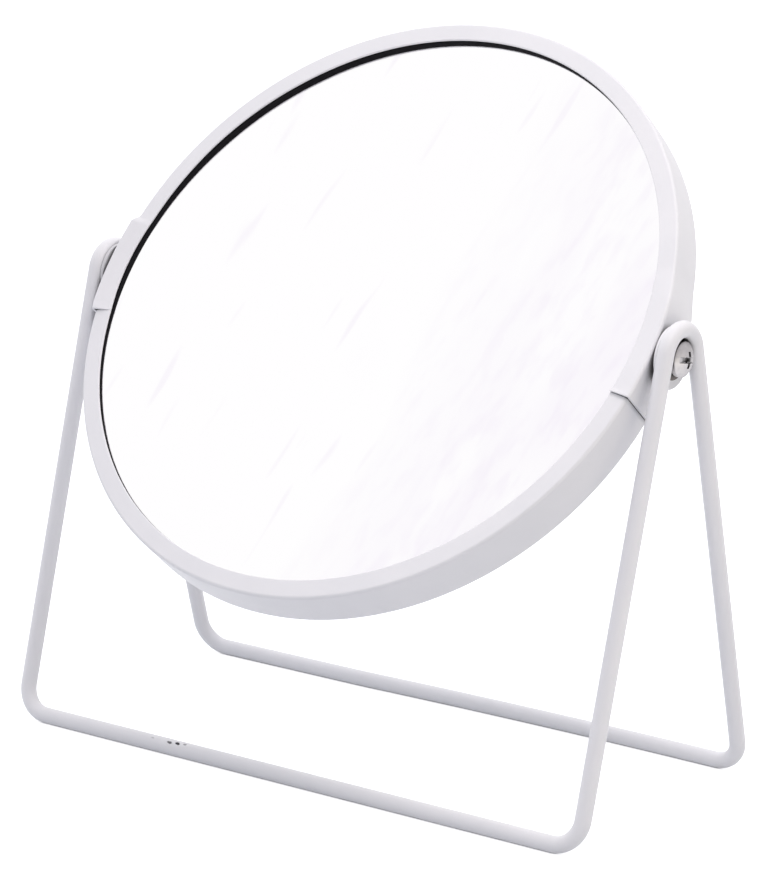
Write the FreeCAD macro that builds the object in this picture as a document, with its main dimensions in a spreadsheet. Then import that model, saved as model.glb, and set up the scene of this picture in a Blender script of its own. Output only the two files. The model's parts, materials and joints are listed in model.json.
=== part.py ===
"""Double-sided round table mirror that turns between the eyes of a bent-wire stand.

X runs along the pivot axis, -Y is the front and the table is at z = 0. The mirror pieces are
drawn in the mirror's own frame, with the glass across X and Y and its front face towards +Z,
and are then tilted back about the pivot.
"""
import FreeCAD, Part
import math
import os
import re
import Sketcher

Vector = FreeCAD.Vector
Rotation = FreeCAD.Rotation
Placement = FreeCAD.Placement

doc = FreeCAD.newDocument("table_mirror")

# ---------------------------------------------------------------- driving dimensions (mm, degrees)
sheet = doc.addObject("Spreadsheet::Sheet", "Sizes")
sizes = [
    ("rim_radius", 85.0, "outside of the rim"),
    ("rim_depth", 12.7, "front lip to rear lip"),
    ("lip_width", 5.1, "lip, from the outside of the rim to its inner edge"),
    ("sheet_thickness", 0.7, "steel sheet of both rim halves"),
    ("bend_radius", 1.0, "outside of the folds of the rim"),
    ("overlap_clearance", 0.05, "between the flared end and the end inside it"),
    ("flare_above", 14.4, "along the rim, pivot to the top of the flare"),
    ("flare_below", 15.0, "along the rim, pivot to the cut end of the flare"),
    ("flare_step", 1.6, "along the rim, length of the step into the flare"),
    ("tongue_above", 10.4, "along the rim, pivot to the end of the lower half"),
    ("pivot_height", 117.25, "pivot axis above the table"),
    ("rest_tilt", 39.5, "lean of the mirror from upright, top to the rear"),
    ("wire_diameter", 4.28, "stand wire with its coating"),
    ("bar_spacing", 78.7, "front bar to rear bar, centre to centre"),
    ("eye_bend_radius", 7.3, "centreline of the bend around each pivot"),
    ("corner_bend_radius", 7.5, "centreline of the four bends at the table"),
    ("side_lean", 0.885, "each side frame leans in by this at the table"),
    ("weld_gap", 0.02, "pivot plate to the wire that it is welded to"),
    ("front_glass_thickness", 2.5, "flat glass"),
    ("rear_glass_thickness", 2.0, "curved glass"),
    ("magnifier_radius", 1100.0, "curvature of the hollow face of the rear glass"),
    ("packing_height", 1.4, "front packing between lip and glass; the rear one fills what is left"),
    ("packing_clearance", 0.05, "packing to the start of the rim's folds"),
    ("seat_clearance", 0.05, "packing to the glass edge"),
    ("card_thickness", 0.7, "backing card"),
    ("dome_gap", 0.29, "backing card to the domed back of the rear glass"),
    ("card_margin", 3.3, "glass edge to card edge"),
    ("foam_margin", 1.3, "glass edge to the outside of the foam ring"),
    ("foam_width", 16.0, "foam ring, across its section"),
    ("foam_clearance", 0.05, "foam to the curved glass"),
    ("screw_diameter", 4.0, "pivot screw shank"),
    ("head_diameter", 8.4, "pivot screw head"),
    ("head_height", 3.0, "pivot screw head"),
    ("crown_radius", 6.5, "dome of the screw head"),
    ("slot_width", 1.3, "screw slot"),
    ("slot_depth", 1.1, "screw slot"),
    ("recess_length", 4.3, "cross recess, tip to tip"),
    ("recess_width", 0.9, "cross recess, one arm"),
    ("recess_depth", 1.9, "cross recess"),
    ("slot_turn_right", 9.0, "right slot, front end up from level"),
    ("slot_turn_left", 52.0, "left slot, front end up from level"),
    ("tip_projection", 0.2, "screw tip past its nut"),
    ("running_clearance", 0.05, "pivot plate bore to the screw, radial"),
    ("thread_clearance", 0.02, "nut bore to the screw, radial"),
    ("hole_clearance", 0.2, "rim and washer holes to the screw, radial"),
    ("friction_diameter", 12.0, "fibre washer between rim and pivot plate"),
    ("friction_thickness", 0.5, "fibre washer"),
    ("plate_diameter", 15.8, "pivot plate"),
    ("plate_thickness", 1.08, "pivot plate"),
    ("plain_diameter", 11.0, "plain washer"),
    ("plain_thickness", 0.8, "plain washer"),
    ("spring_diameter", 7.6, "spring lock washer"),
    ("spring_thickness", 1.2, "spring lock washer"),
    ("spring_split", 0.6, "slit of the spring lock washer"),
    ("nut_width", 7.0, "square nut"),
    ("nut_thickness", 2.2, "square nut"),
    ("nut_room", 0.8, "nut to glass edge"),
    ("notch_clearance", 0.5, "packing notch to each side of the nut"),
]
for row, (alias, value, note) in enumerate(sizes, 1):
    sheet.set("A%d" % row, alias)
    sheet.set("B%d" % row, str(value))
    sheet.setAlias("B%d" % row, alias)
    sheet.set("C%d" % row, note)
doc.recompute()


def size(alias):
    return float(sheet.get(alias))


def cell(formula):
    """Writes Sizes. before every alias of a formula."""
    aliases = [alias for alias, value, note in sizes]
    return re.sub("[a-z_]+", lambda word: "Sizes." * (word.group() in aliases) + word.group(), formula)


# formulas that several pieces share
flare_offset = "(sheet_thickness + overlap_clearance)"
inner_wall = "(rim_radius - sheet_thickness)"
glass_radius = "(" + inner_wall + " - nut_thickness - nut_room)"
lip_radius = "(rim_radius - lip_width)"
glass_level = "(rim_depth / 2 - sheet_thickness - packing_height)"
card_level = "(" + glass_level + " - front_glass_thickness - card_thickness)"
dish_level = "(" + card_level + " - dome_gap - rear_glass_thickness)"
dish_depth = "(magnifier_radius - sqrt(magnifier_radius * magnifier_radius - " \
    + glass_radius + " * " + glass_radius + "))"
rear_edge_level = "(" + dish_level + " - " + dish_depth + ")"
rear_packing_height = "(rim_depth / 2 - sheet_thickness + " + rear_edge_level + ")"
nut_seat = "sqrt(" + inner_wall + " * " + inner_wall + " - nut_width * nut_width / 4)"
degrees_per_length = "180 / (pi * rim_radius)"
friction_station = "(rim_radius + " + flare_offset + ")"
plate_station = "(" + friction_station + " + friction_thickness)"
plain_station = "(" + plate_station + " + plate_thickness)"
spring_station = "(" + plain_station + " + plain_thickness)"
head_station = "(" + spring_station + " + spring_thickness)"
eye_station = "(" + plain_station + " + weld_gap + wire_diameter / 2)"
screw_length = "(" + head_station + " - " + nut_seat + " + nut_thickness + tip_projection)"


def bind(target, **formulas):
    """Binds properties to the sheet; base_x stands for Placement.Base.x and so on."""
    paths = {"base_x": "Placement.Base.x", "base_y": "Placement.Base.y", "base_z": "Placement.Base.z",
             "turn": "Placement.Rotation.Angle", "offset_z": "AttachmentOffset.Base.z",
             "offset_turn": "AttachmentOffset.Rotation.Angle"}
    for name, formula in formulas.items():
        target.setExpression(paths.get(name, name), cell(formula))
    return target


def value_of(formula):
    return float(sheet.evalExpression(cell(formula)))


def origin_plane(body, role):
    return [feature for feature in body.Origin.OriginFeatures if feature.Role == role][0]


def new_sketch(body, name, role):
    sketch = body.newObject("Sketcher::SketchObject", name)
    sketch.AttachmentSupport = [(origin_plane(body, role), "")]
    sketch.MapMode = "FlatFace"
    return sketch


def dimension(sketch, name, formula, kind, *references):
    """Adds one named dimension to a sketch and binds it to the sheet."""
    index = sketch.addConstraint(Sketcher.Constraint(kind, *references, value_of(formula)))
    sketch.renameConstraint(index, name)
    sketch.setExpression("Constraints." + name, cell(formula))


def circle_sketch(body, name, role, radii):
    """Concentric circles; the first is the outside, the second a hole."""
    sketch = new_sketch(body, name, role)
    for index, (label, formula) in enumerate(radii):
        circle = Part.Circle(Vector(0, 0, 0), Vector(0, 0, 1), value_of(formula))
        sketch.addGeometry(circle, False)
        sketch.addConstraint(Sketcher.Constraint("Coincident", index, 3, -1, 1))
        dimension(sketch, label, formula, "Radius", index)
    return sketch


def disc(label, radii, thickness, level="0"):
    """A flat disc or washer about its own Z, standing on the given level."""
    body = doc.addObject("PartDesign::Body", label)
    body.Label = label
    sketch = circle_sketch(body, label + "_outline", "XY_Plane", radii)
    bind(sketch, offset_z=level)
    pad = body.newObject("PartDesign::Pad", label + "_pad")
    pad.Profile = sketch
    bind(pad, Length=thickness)
    return body


def cylinder(label, radius, height, level="0"):
    solid = doc.addObject("Part::Cylinder", label)
    return bind(solid, Radius=radius, Height=height, base_z=level)


def block(label, length, width, height, corner):
    solid = doc.addObject("Part::Box", label)
    return bind(solid, Length=length, Width=width, Height=height,
                base_x=corner[0], base_y=corner[1], base_z=corner[2])


def boolean(kind, label, first, second):
    """Part::Cut, Part::Common or Part::Fuse of two objects."""
    result = doc.addObject("Part::" + kind, label)
    result.Base = first
    result.Tool = second
    result.Label = label
    return result


def join(label, shapes):
    result = doc.addObject("Part::MultiFuse", label)
    result.Shapes = shapes
    return result


def hang_on_pivot(piece):
    """Leans a mirror piece back about the pivot axis, at the pivot's height."""
    piece.Placement = Placement(Vector(0, 0, 0), Rotation(Vector(1, 0, 0), 90 - size("rest_tilt")))
    return bind(piece, base_z="pivot_height", turn="90 - rest_tilt")


def set_on_axis(piece, side, station):
    """Turns a piece's own Z outwards along the pivot axis and slides it to its station."""
    piece.Placement = Placement(Vector(0, 0, 0), Rotation(Vector(0, 1, 0), side * 90))
    sign = "" if side > 0 else "-1 * "
    return bind(piece, base_x=sign + station, base_z="pivot_height")


nodes = []


def keep(piece):
    nodes.append(piece)
    return piece


# ---------------------------------------------------------------- wire stand
def tangent_arc(before, corner, after, radius):
    """Start, middle and end of the arc that rounds a corner between two straight runs."""
    to_before = (before - corner).normalize()
    to_after = (after - corner).normalize()
    half = to_before.getAngle(to_after) / 2
    reach = radius / math.tan(half)
    inward = (to_before + to_after).normalize()
    centre = corner + inward * (radius / math.sin(half))
    return corner + to_before * reach, centre - inward * radius, corner + to_after * reach


def wire_path():
    """Right half of the loop: half the front bar, the side frame and half the rear bar."""
    wire_radius = size("wire_diameter") / 2
    half_spacing = size("bar_spacing") / 2
    eye_x = value_of(eye_station)
    foot_x = eye_x - size("side_lean")
    eye = Vector(eye_x, 0, size("pivot_height"))
    foot = Vector(foot_x, 0, wire_radius)
    upwards = (eye - foot).normalize()
    front_corner = foot + Vector(0, -half_spacing, 0)
    rear_corner = foot + Vector(0, half_spacing, 0)
    # a leg leaves its corner on the line that touches the eye's circle
    bend = size("eye_bend_radius")
    span = (eye - front_corner).Length
    fall = math.atan2((eye - foot).Length, half_spacing) - math.acos(bend / span)
    front_touch = eye - Vector(0, math.cos(fall) * bend, 0) - upwards * (math.sin(fall) * bend)
    rear_touch = Vector(front_touch.x, -front_touch.y, front_touch.z)
    crown = eye + upwards * bend
    front_middle = Vector(0, -half_spacing, wire_radius)
    rear_middle = Vector(0, half_spacing, wire_radius)
    corner_bend = size("corner_bend_radius")
    a, b, c = tangent_arc(front_middle, front_corner, front_touch, corner_bend)
    d, e, f = tangent_arc(rear_touch, rear_corner, rear_middle, corner_bend)
    edges = [Part.LineSegment(front_middle, a), Part.Arc(a, b, c), Part.LineSegment(c, front_touch),
             Part.Arc(front_touch, crown, rear_touch), Part.LineSegment(rear_touch, d),
             Part.Arc(d, e, f), Part.LineSegment(f, rear_middle)]
    return Part.Wire([edge.toShape() for edge in edges])


path = doc.addObject("Part::Feature", "wire_centreline")
path.Shape = wire_path()
section = doc.addObject("Part::Circle", "wire_section")
section.Placement = Placement(Vector(0, 0, 0), Rotation(Vector(0, 1, 0), 90))
bind(section, Radius="wire_diameter / 2", base_y="-1 * bar_spacing / 2", base_z="wire_diameter / 2")
right_half = doc.addObject("Part::Sweep", "right_half_loop")
right_half.Sections = [section]
right_half.Spine = (path, ["Edge%d" % number for number in range(1, len(path.Shape.Edges) + 1)])
right_half.Solid = True
left_half = doc.addObject("Part::Mirroring", "left_half_loop")
left_half.Source = right_half
left_half.Normal = Vector(1, 0, 0)
wire_frame = boolean("Fuse", "wire_frame", right_half, left_half)
wire_frame.Refine = True
keep(wire_frame)


# ---------------------------------------------------------------- rim halves
def channel_sketch(body, name, start, radius, half_depth, fold):
    """Section of the rim, a rounded U that opens inwards, at one angle round the rim."""
    sketch = new_sketch(body, name, "XZ_Plane")
    sketch.AttachmentOffset = Placement(Vector(0, 0, 0), Rotation(Vector(0, 1, 0), value_of(start)))
    bind(sketch, offset_turn=start)
    outer, lip, depth = value_of(radius), value_of(lip_radius), value_of(half_depth)
    big, thick = value_of(fold), size("sheet_thickness")
    small = big - thick
    wall, inside = outer - thick, depth - thick

    def line(x1, y1, x2, y2):
        sketch.addGeometry(Part.LineSegment(Vector(x1, y1, 0), Vector(x2, y2, 0)), False)

    def arc(x, y, radius, first, last):
        circle = Part.Circle(Vector(x, y, 0), Vector(0, 0, 1), radius)
        sketch.addGeometry(Part.ArcOfCircle(circle, math.radians(first), math.radians(last)), False)

    line(lip, -depth, outer - big, -depth)                       # 0 rear lip, outside
    arc(outer - big, -depth + big, big, -90, 0)                  # 1
    line(outer, -depth + big, outer, depth - big)                # 2 rim wall, outside
    arc(outer - big, depth - big, big, 0, 90)                    # 3
    line(outer - big, depth, lip, depth)                         # 4 front lip, outside
    line(lip, depth, lip, inside)                                # 5 front lip, edge
    line(lip, inside, wall - small, inside)                      # 6 front lip, inside
    arc(wall - small, inside - small, small, 0, 90)              # 7
    line(wall, inside - small, wall, -inside + small)            # 8 rim wall, inside
    arc(wall - small, -inside + small, small, -90, 0)            # 9
    line(wall - small, -inside, lip, -inside)                    # 10 rear lip, inside
    line(lip, -inside, lip, -depth)                              # 11 rear lip, edge
    for first, first_end, second, second_end in (
            (0, 2, 1, 1), (1, 2, 2, 1), (2, 2, 3, 1), (3, 2, 4, 1),
            (6, 2, 7, 2), (7, 1, 8, 1), (8, 2, 9, 2), (9, 1, 10, 1)):
        sketch.addConstraint(Sketcher.Constraint("Tangent", first, first_end, second, second_end))
    for first, second in ((4, 5), (5, 6), (10, 11)):
        sketch.addConstraint(Sketcher.Constraint("Coincident", first, 2, second, 1))
    sketch.addConstraint(Sketcher.Constraint("Coincident", 11, 2, 0, 1))
    for index in (0, 4, 6, 10):
        sketch.addConstraint(Sketcher.Constraint("Horizontal", index))
    for index in (2, 5, 8, 11):
        sketch.addConstraint(Sketcher.Constraint("Vertical", index))
    sketch.addConstraint(Sketcher.Constraint("Vertical", 5, 1, 11, 1))
    sketch.addConstraint(Sketcher.Constraint("Equal", 1, 3))
    sketch.addConstraint(Sketcher.Constraint("Equal", 7, 9))
    dimension(sketch, "outer_radius", radius, "DistanceX", -1, 1, 2, 1)
    dimension(sketch, "inner_radius", radius + " - sheet_thickness", "DistanceX", -1, 1, 8, 1)
    dimension(sketch, "lip_edge", lip_radius, "DistanceX", -1, 1, 5, 1)
    dimension(sketch, "front_face", half_depth, "DistanceY", -1, 1, 4, 1)
    dimension(sketch, "front_inside", half_depth + " - sheet_thickness", "DistanceY", -1, 1, 6, 1)
    dimension(sketch, "rear_face", half_depth, "DistanceY", 0, 1, -1, 1)
    dimension(sketch, "rear_inside", half_depth + " - sheet_thickness", "DistanceY", 10, 1, -1, 1)
    dimension(sketch, "outside_fold", fold, "Radius", 1)
    dimension(sketch, "inside_fold", fold + " - sheet_thickness", "Radius", 7)
    return sketch


def spin(body, name, sketch, angle):
    revolution = body.newObject("PartDesign::Revolution", name)
    revolution.Profile = sketch
    revolution.ReferenceAxis = (sketch, ["V_Axis"])
    return bind(revolution, Angle=angle)


def pivot_holes(body, name):
    """One straight hole through both sides of a rim half, along the pivot axis."""
    radii = [("hole_radius", "screw_diameter / 2 + hole_clearance")]
    sketch = circle_sketch(body, name + "_outline", "YZ_Plane", radii)
    pocket = body.newObject("PartDesign::Pocket", name)
    pocket.Profile = sketch
    pocket.Type = "Length"
    pocket.SideType = "Symmetric"
    bind(pocket, Length="rim_radius * 2 + rim_depth")
    body.Tip = pocket


plain_channel = {"radius": "rim_radius", "half_depth": "rim_depth / 2", "fold": "bend_radius"}
flared_channel = {"radius": "rim_radius + " + flare_offset, "half_depth": "rim_depth / 2 + " + flare_offset,
                  "fold": "bend_radius + " + flare_offset}
flare_top = "(flare_above * " + degrees_per_length + ")"
flare_shoulder = "((flare_above - flare_step) * " + degrees_per_length + ")"
flare_end = "(flare_below * " + degrees_per_length + ")"
tongue_end = "(tongue_above * " + degrees_per_length + ")"

upper_half = doc.addObject("PartDesign::Body", "upper_rim_half")
upper_half.Label = "upper_rim_half"
arch_section = channel_sketch(upper_half, "arch_section", flare_top, **plain_channel)
spin(upper_half, "arch", arch_section, "180 - 2 * " + flare_top)
step_top = channel_sketch(upper_half, "step_top_section", flare_top, **plain_channel)
step_bottom = channel_sketch(upper_half, "step_bottom_section", flare_shoulder, **flared_channel)
step = upper_half.newObject("PartDesign::AdditiveLoft", "flare_step")
step.Profile = step_top
step.Sections = [step_bottom]
step.Ruled = True
flare_section = channel_sketch(upper_half, "flare_section", "-1 * " + flare_end, **flared_channel)
flare = spin(upper_half, "flare", flare_section, flare_end + " + " + flare_shoulder)
both_sides = upper_half.newObject("PartDesign::Mirrored", "left_flare")
both_sides.Originals = [step, flare]
both_sides.MirrorPlane = (origin_plane(upper_half, "YZ_Plane"), [""])
upper_half.Tip = both_sides
pivot_holes(upper_half, "upper_pivot_holes")
keep(hang_on_pivot(upper_half))

lower_half = doc.addObject("PartDesign::Body", "lower_rim_half")
lower_half.Label = "lower_rim_half"
bowl_section = channel_sketch(lower_half, "bowl_section", "180 - " + tongue_end, **plain_channel)
spin(lower_half, "bowl", bowl_section, "180 + 2 * " + tongue_end)
pivot_holes(lower_half, "lower_pivot_holes")
keep(hang_on_pivot(lower_half))


# ---------------------------------------------------------------- glass, card, foam and packing
def ball(label, radius):
    """Sphere about the centre of curvature of the rear glass."""
    solid = doc.addObject("Part::Sphere", label)
    return bind(solid, Radius=radius, base_z=dish_level + " - magnifier_radius")


front_glass = disc("front_mirror_glass", [("edge", glass_radius)], "front_glass_thickness",
                   glass_level + " - front_glass_thickness")
keep(hang_on_pivot(front_glass))

card = disc("backing_card", [("edge", glass_radius + " - card_margin")], "card_thickness", card_level)
keep(hang_on_pivot(card))

rear_blank = cylinder("rear_glass_blank", glass_radius, "rim_depth", "-1 * rim_depth / 2")
rear_shell = boolean("Cut", "rear_glass_shell",
                     ball("rear_glass_inner_face", "magnifier_radius + rear_glass_thickness"),
                     ball("rear_glass_hollow_face", "magnifier_radius"))
rear_glass = boolean("Common", "rear_magnifying_glass", rear_blank, rear_shell)
keep(hang_on_pivot(rear_glass))

foam_radius = "(" + glass_radius + " - foam_margin)"
foam_blank = disc("foam_blank", [("outside", foam_radius), ("inside", foam_radius + " - foam_width")],
                  card_level + " - " + rear_edge_level, rear_edge_level)
foam = boolean("Cut", "foam_spacer_ring", foam_blank,
               ball("foam_seat", "magnifier_radius + rear_glass_thickness + foam_clearance"))
keep(hang_on_pivot(foam))


def packing_ring(label, side, height, glass_thickness):
    """L-shaped ring: a flange between lip and glass, and a wall round the glass edge."""
    depth = "(" + height + " + " + glass_thickness + ")"
    lip_side = "(rim_depth / 2 - sheet_thickness)"
    if side > 0:
        blank_level = lip_side + " - " + depth
        seat_level = blank_level
    else:
        blank_level = "-1 * " + lip_side
        seat_level = blank_level + " + " + height
    blank = cylinder(label + "_blank", "rim_radius - bend_radius - packing_clearance", depth, blank_level)
    window = cylinder(label + "_window", lip_radius, "rim_depth", "-1 * rim_depth / 2")
    seat = cylinder(label + "_seat", glass_radius + " + seat_clearance", glass_thickness, seat_level)
    half_notch = "(nut_width / 2 + notch_clearance)"
    notch = block(label + "_nut_notch", "2 * rim_radius", "2 * " + half_notch, "2 * " + half_notch,
                  ("-1 * rim_radius", "-1 * " + half_notch, "-1 * " + half_notch))
    ring = boolean("Cut", label, blank, join(label + "_openings", [window, seat, notch]))
    return keep(hang_on_pivot(ring))


packing_ring("front_packing_ring", 1, "packing_height", "front_glass_thickness")
packing_ring("rear_packing_ring", -1, rear_packing_height, "rear_glass_thickness")


# ---------------------------------------------------------------- pivots, right and left
def pivot_screw(label, side, slot_turn):
    """Pan head with a slot across a cross recess; the head's underside is at its own z = 0."""
    crown = doc.addObject("Part::Sphere", label + "_crown")
    bind(crown, Radius="crown_radius", base_z="head_height - crown_radius")
    head = boolean("Common", label + "_head",
                   cylinder(label + "_head_blank", "head_diameter / 2", "head_height"), crown)
    shank = cylinder(label + "_shank", "screw_diameter / 2", screw_length, "-1 * " + screw_length)
    slot = block(label + "_slot", "2 * head_diameter", "slot_width", "head_height",
                 ("-1 * head_diameter", "-1 * slot_width / 2", "head_height - slot_depth"))
    long_arm = block(label + "_recess_along", "recess_length", "recess_width", "head_height",
                     ("-1 * recess_length / 2", "-1 * recess_width / 2", "head_height - recess_depth"))
    cross_arm = block(label + "_recess_across", "recess_width", "recess_length", "head_height",
                      ("-1 * recess_width / 2", "-1 * recess_length / 2", "head_height - recess_depth"))
    screw = boolean("Cut", label, join(label + "_solid", [head, shank]),
                    join(label + "_drive", [slot, long_arm, cross_arm]))
    set_on_axis(screw, side, head_station)
    outwards = Rotation(Vector(0, 1, 0), side * 90)
    level_slot = Rotation(Vector(0, 0, 1), 90 - side * size(slot_turn))
    screw.Placement = Placement(screw.Placement.Base, outwards * level_slot)
    return keep(screw)


def spring_washer(label, side):
    ring = disc(label + "_ring", [("outside", "spring_diameter / 2"),
                                  ("inside", "screw_diameter / 2 + hole_clearance")], "spring_thickness")
    slit = block(label + "_slit", "spring_diameter", "spring_split", "spring_thickness",
                 ("0", "-1 * spring_split / 2", "0"))
    return keep(set_on_axis(boolean("Cut", label, ring, slit), side, spring_station))


def square_nut(label, side):
    edge = nut_seat + " - nut_thickness" if side > 0 else "-1 * " + nut_seat
    body = block(label + "_blank", "nut_thickness", "nut_width", "nut_width",
                 (edge, "-1 * nut_width / 2", "-1 * nut_width / 2"))
    thread = cylinder(label + "_thread", "screw_diameter / 2 + thread_clearance", "2 * rim_radius")
    thread.Placement = Placement(Vector(0, 0, 0), Rotation(Vector(0, 1, 0), side * 90))
    return keep(hang_on_pivot(boolean("Cut", label, body, thread)))


def washer(label, side, diameter, clearance, thickness, station):
    radii = [("outside", diameter + " / 2"), ("bore", "screw_diameter / 2 + " + clearance)]
    return keep(set_on_axis(disc(label, radii, thickness), side, station))


for name, side in (("right", 1), ("left", -1)):
    washer(name + "_friction_washer", side, "friction_diameter", "hole_clearance",
           "friction_thickness", friction_station)
    washer(name + "_pivot_plate", side, "plate_diameter", "running_clearance",
           "plate_thickness", plate_station)
    washer(name + "_plain_washer", side, "plain_diameter", "hole_clearance",
           "plain_thickness", plain_station)
    spring_washer(name + "_spring_washer", side)
    pivot_screw(name + "_pivot_screw", side, "slot_turn_" + name)
    square_nut(name + "_square_nut", side)

doc.recompute()

# ---------------------------------------------------------------- checks and export
for item in doc.Objects:
    if "Invalid" in item.State or "Error" in item.State:
        raise RuntimeError("%s failed: %s" % (item.Name, item.State))
for piece in nodes:
    if piece.Shape.isNull() or not piece.Shape.isValid():
        raise RuntimeError("%s has no valid shape" % piece.Label)
    if len(piece.Shape.Solids) != 1:
        raise RuntimeError("%s has %d solids" % (piece.Label, len(piece.Shape.Solids)))

os.makedirs("parts", exist_ok=True)
for piece in nodes:
    piece.Shape.exportStep(os.path.join("parts", piece.Label + ".step"))
    box = piece.Shape.BoundBox
    print("%-24s %9.1f mm3  x %.2f..%.2f  y %.2f..%.2f  z %.2f..%.2f" % (
        piece.Label, piece.Shape.Volume, box.XMin, box.XMax, box.YMin, box.YMax, box.ZMin, box.ZMax))
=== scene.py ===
# Dresses a round table mirror that tilts between the eyes of a bent-wire stand.
# X runs along the pivot axis, -Y is the front, the table is at z = 0. Sizes are in mm.
import json
import math
import bmesh
import bpy
from mathutils import Matrix, Vector


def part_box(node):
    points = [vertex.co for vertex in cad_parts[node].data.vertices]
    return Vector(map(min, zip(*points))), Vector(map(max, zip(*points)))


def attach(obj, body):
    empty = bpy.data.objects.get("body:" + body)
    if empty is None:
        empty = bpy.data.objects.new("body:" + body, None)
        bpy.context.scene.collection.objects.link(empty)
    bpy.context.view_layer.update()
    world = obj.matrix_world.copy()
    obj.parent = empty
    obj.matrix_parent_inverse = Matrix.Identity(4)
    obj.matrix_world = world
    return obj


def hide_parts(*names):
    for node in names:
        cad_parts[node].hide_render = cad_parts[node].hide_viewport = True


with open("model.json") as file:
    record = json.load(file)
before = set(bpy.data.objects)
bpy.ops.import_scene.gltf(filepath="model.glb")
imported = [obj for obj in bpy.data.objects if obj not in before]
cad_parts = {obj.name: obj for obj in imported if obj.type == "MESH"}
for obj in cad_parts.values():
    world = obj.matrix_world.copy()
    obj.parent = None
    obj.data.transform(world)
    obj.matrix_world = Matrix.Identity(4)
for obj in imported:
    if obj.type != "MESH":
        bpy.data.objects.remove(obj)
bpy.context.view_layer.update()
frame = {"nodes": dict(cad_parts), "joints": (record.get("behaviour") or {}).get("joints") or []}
mm = 0.001
scene = bpy.context.scene
print("frame loaded:", len(frame["nodes"]), "nodes")


def hexColour(code):
    # sRGB hex to the linear values that the shaders take
    channels = [int(code[i:i + 2], 16) / 255 for i in (1, 3, 5)]
    return [c / 12.92 if c <= 0.04045 else ((c + 0.055) / 1.055) ** 2.4 for c in channels] + [1.0]


def addNode(tree, kind, inputs, **settings):
    # one node, its settings, and its inputs as values or links; a node stands for its first output,
    # and the kind of a shader node goes without its prefix
    node = tree.nodes.new(kind if kind.startswith(("Geometry", "NodeGroup")) else "ShaderNode" + kind)
    for name, value in settings.items():
        setattr(node, name, value)
    for key, value in inputs.items():
        if isinstance(value, bpy.types.Node):
            value = next(socket for socket in value.outputs if socket.enabled)
        if isinstance(value, bpy.types.NodeSocket):
            tree.links.new(value, node.inputs[key])
        else:
            node.inputs[key].default_value = value
    return node


def grainOf(wave, detail, roughness=0.5):
    # noise inputs for bumps about this many mm apart
    return {"Scale": 1 / (wave * mm), "Detail": detail, "Roughness": roughness}


def between(value, low, high, atLow=0.0, atHigh=1.0):
    # range inputs that turn low to high into atLow to atHigh
    return {"Value": value, "From Min": low, "From Max": high, "To Min": atLow, "To Max": atHigh}


def roundCorners(corners, closed=True, step=20):
    # a line through corners [(point, radius)], with a tangent arc at each corner that has a radius
    # and a point at least every so many degrees
    line = []
    for i, (corner, radius) in enumerate(corners):
        if radius == 0 or (not closed and i in (0, len(corners) - 1)):
            line.append(corner.copy())
            continue
        toBefore = (corners[i - 1][0] - corner).normalized()
        toAfter = (corners[(i + 1) % len(corners)][0] - corner).normalized()
        half = toBefore.angle(toAfter) / 2
        reach = radius / math.tan(half)
        centre = corner + (toBefore + toAfter).normalized() * (radius / math.sin(half))
        first = corner + toBefore * reach - centre
        last = corner + toAfter * reach - centre
        count = max(2, math.ceil((math.pi - 2 * half) / math.radians(step)))
        line += [centre + first.slerp(last, k / count) * radius for k in range(count + 1)]
    return line


def roundOutline(corners, closed=True):
    # the same for a lathe, from corners (radius, height, rounding)
    return [(p.x, p.y) for p in roundCorners([(Vector((x, y, 0)), r) for x, y, r in corners], closed)]


def meshObject(name, points, faces=(), edges=()):
    mesh = bpy.data.meshes.new(name)
    mesh.from_pydata([[c * mm for c in point] for point in points], list(edges), list(faces))
    mesh.validate()
    piece = bpy.data.objects.new(name, mesh)
    scene.collection.objects.link(piece)
    return piece


def loopEdges(count):
    return [(k, (k + 1) % count) for k in range(count)]


def settle(piece):
    # applies the modifiers and leaves a plain mesh
    depsgraph = bpy.context.evaluated_depsgraph_get()
    mesh = bpy.data.meshes.new_from_object(piece.evaluated_get(depsgraph))
    piece.modifiers.clear()
    piece.data = mesh
    mesh.name = piece.name
    return piece


def addModifier(piece, kind, **settings):
    modifier = piece.modifiers.new(kind.lower(), kind)
    for name, value in settings.items():
        setattr(modifier, name, value)
    return modifier


def smooth(piece, sharpAbove=50):
    # smooth shading that stays flat across large faces and sharp at real edges
    piece.data.shade_smooth()
    piece.data.set_sharp_from_angle(angle=math.radians(sharpAbove))
    addModifier(piece, "WEIGHTED_NORMAL", keep_sharp=True, weight=80)
    return settle(piece)


def cut(piece, cutter):
    addModifier(piece, "BOOLEAN", operation="DIFFERENCE", object=cutter, solver="EXACT")
    settle(piece)
    bpy.data.objects.remove(cutter)
    return piece


def lathe(name, outline, segments, closed):
    # turns an outline of (radius, height) about Z; points on the axis become poles
    points, rings, faces = [], [], []
    for radius, height in outline:
        count = 1 if radius < 0.001 else segments
        rings.append(range(len(points), len(points) + count))
        for k in range(count):
            a = 2 * math.pi * k / segments
            points.append((radius * math.cos(a), radius * math.sin(a), height))
    for i in range(len(rings) if closed else len(rings) - 1):
        low, high = rings[i], rings[(i + 1) % len(rings)]
        for k, n in loopEdges(segments):
            corner = [low[k % len(low)], low[n % len(low)], high[n % len(high)], high[k % len(high)]]
            faces.append(list(dict.fromkeys(corner)))
    return pointOutwards(meshObject(name, points, faces))


def sweep(name, sections):
    # skin over a row of equal closed sections, with an end face on the first and the last
    size = len(sections[0])
    faces = [[i * size + k, i * size + n, (i + 1) * size + n, (i + 1) * size + k]
             for i in range(len(sections) - 1) for k, n in loopEdges(size)]
    faces += [list(range(size)), list(range((len(sections) - 1) * size, len(sections) * size))]
    return pointOutwards(meshObject(name, [point for section in sections for point in section], faces))


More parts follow.
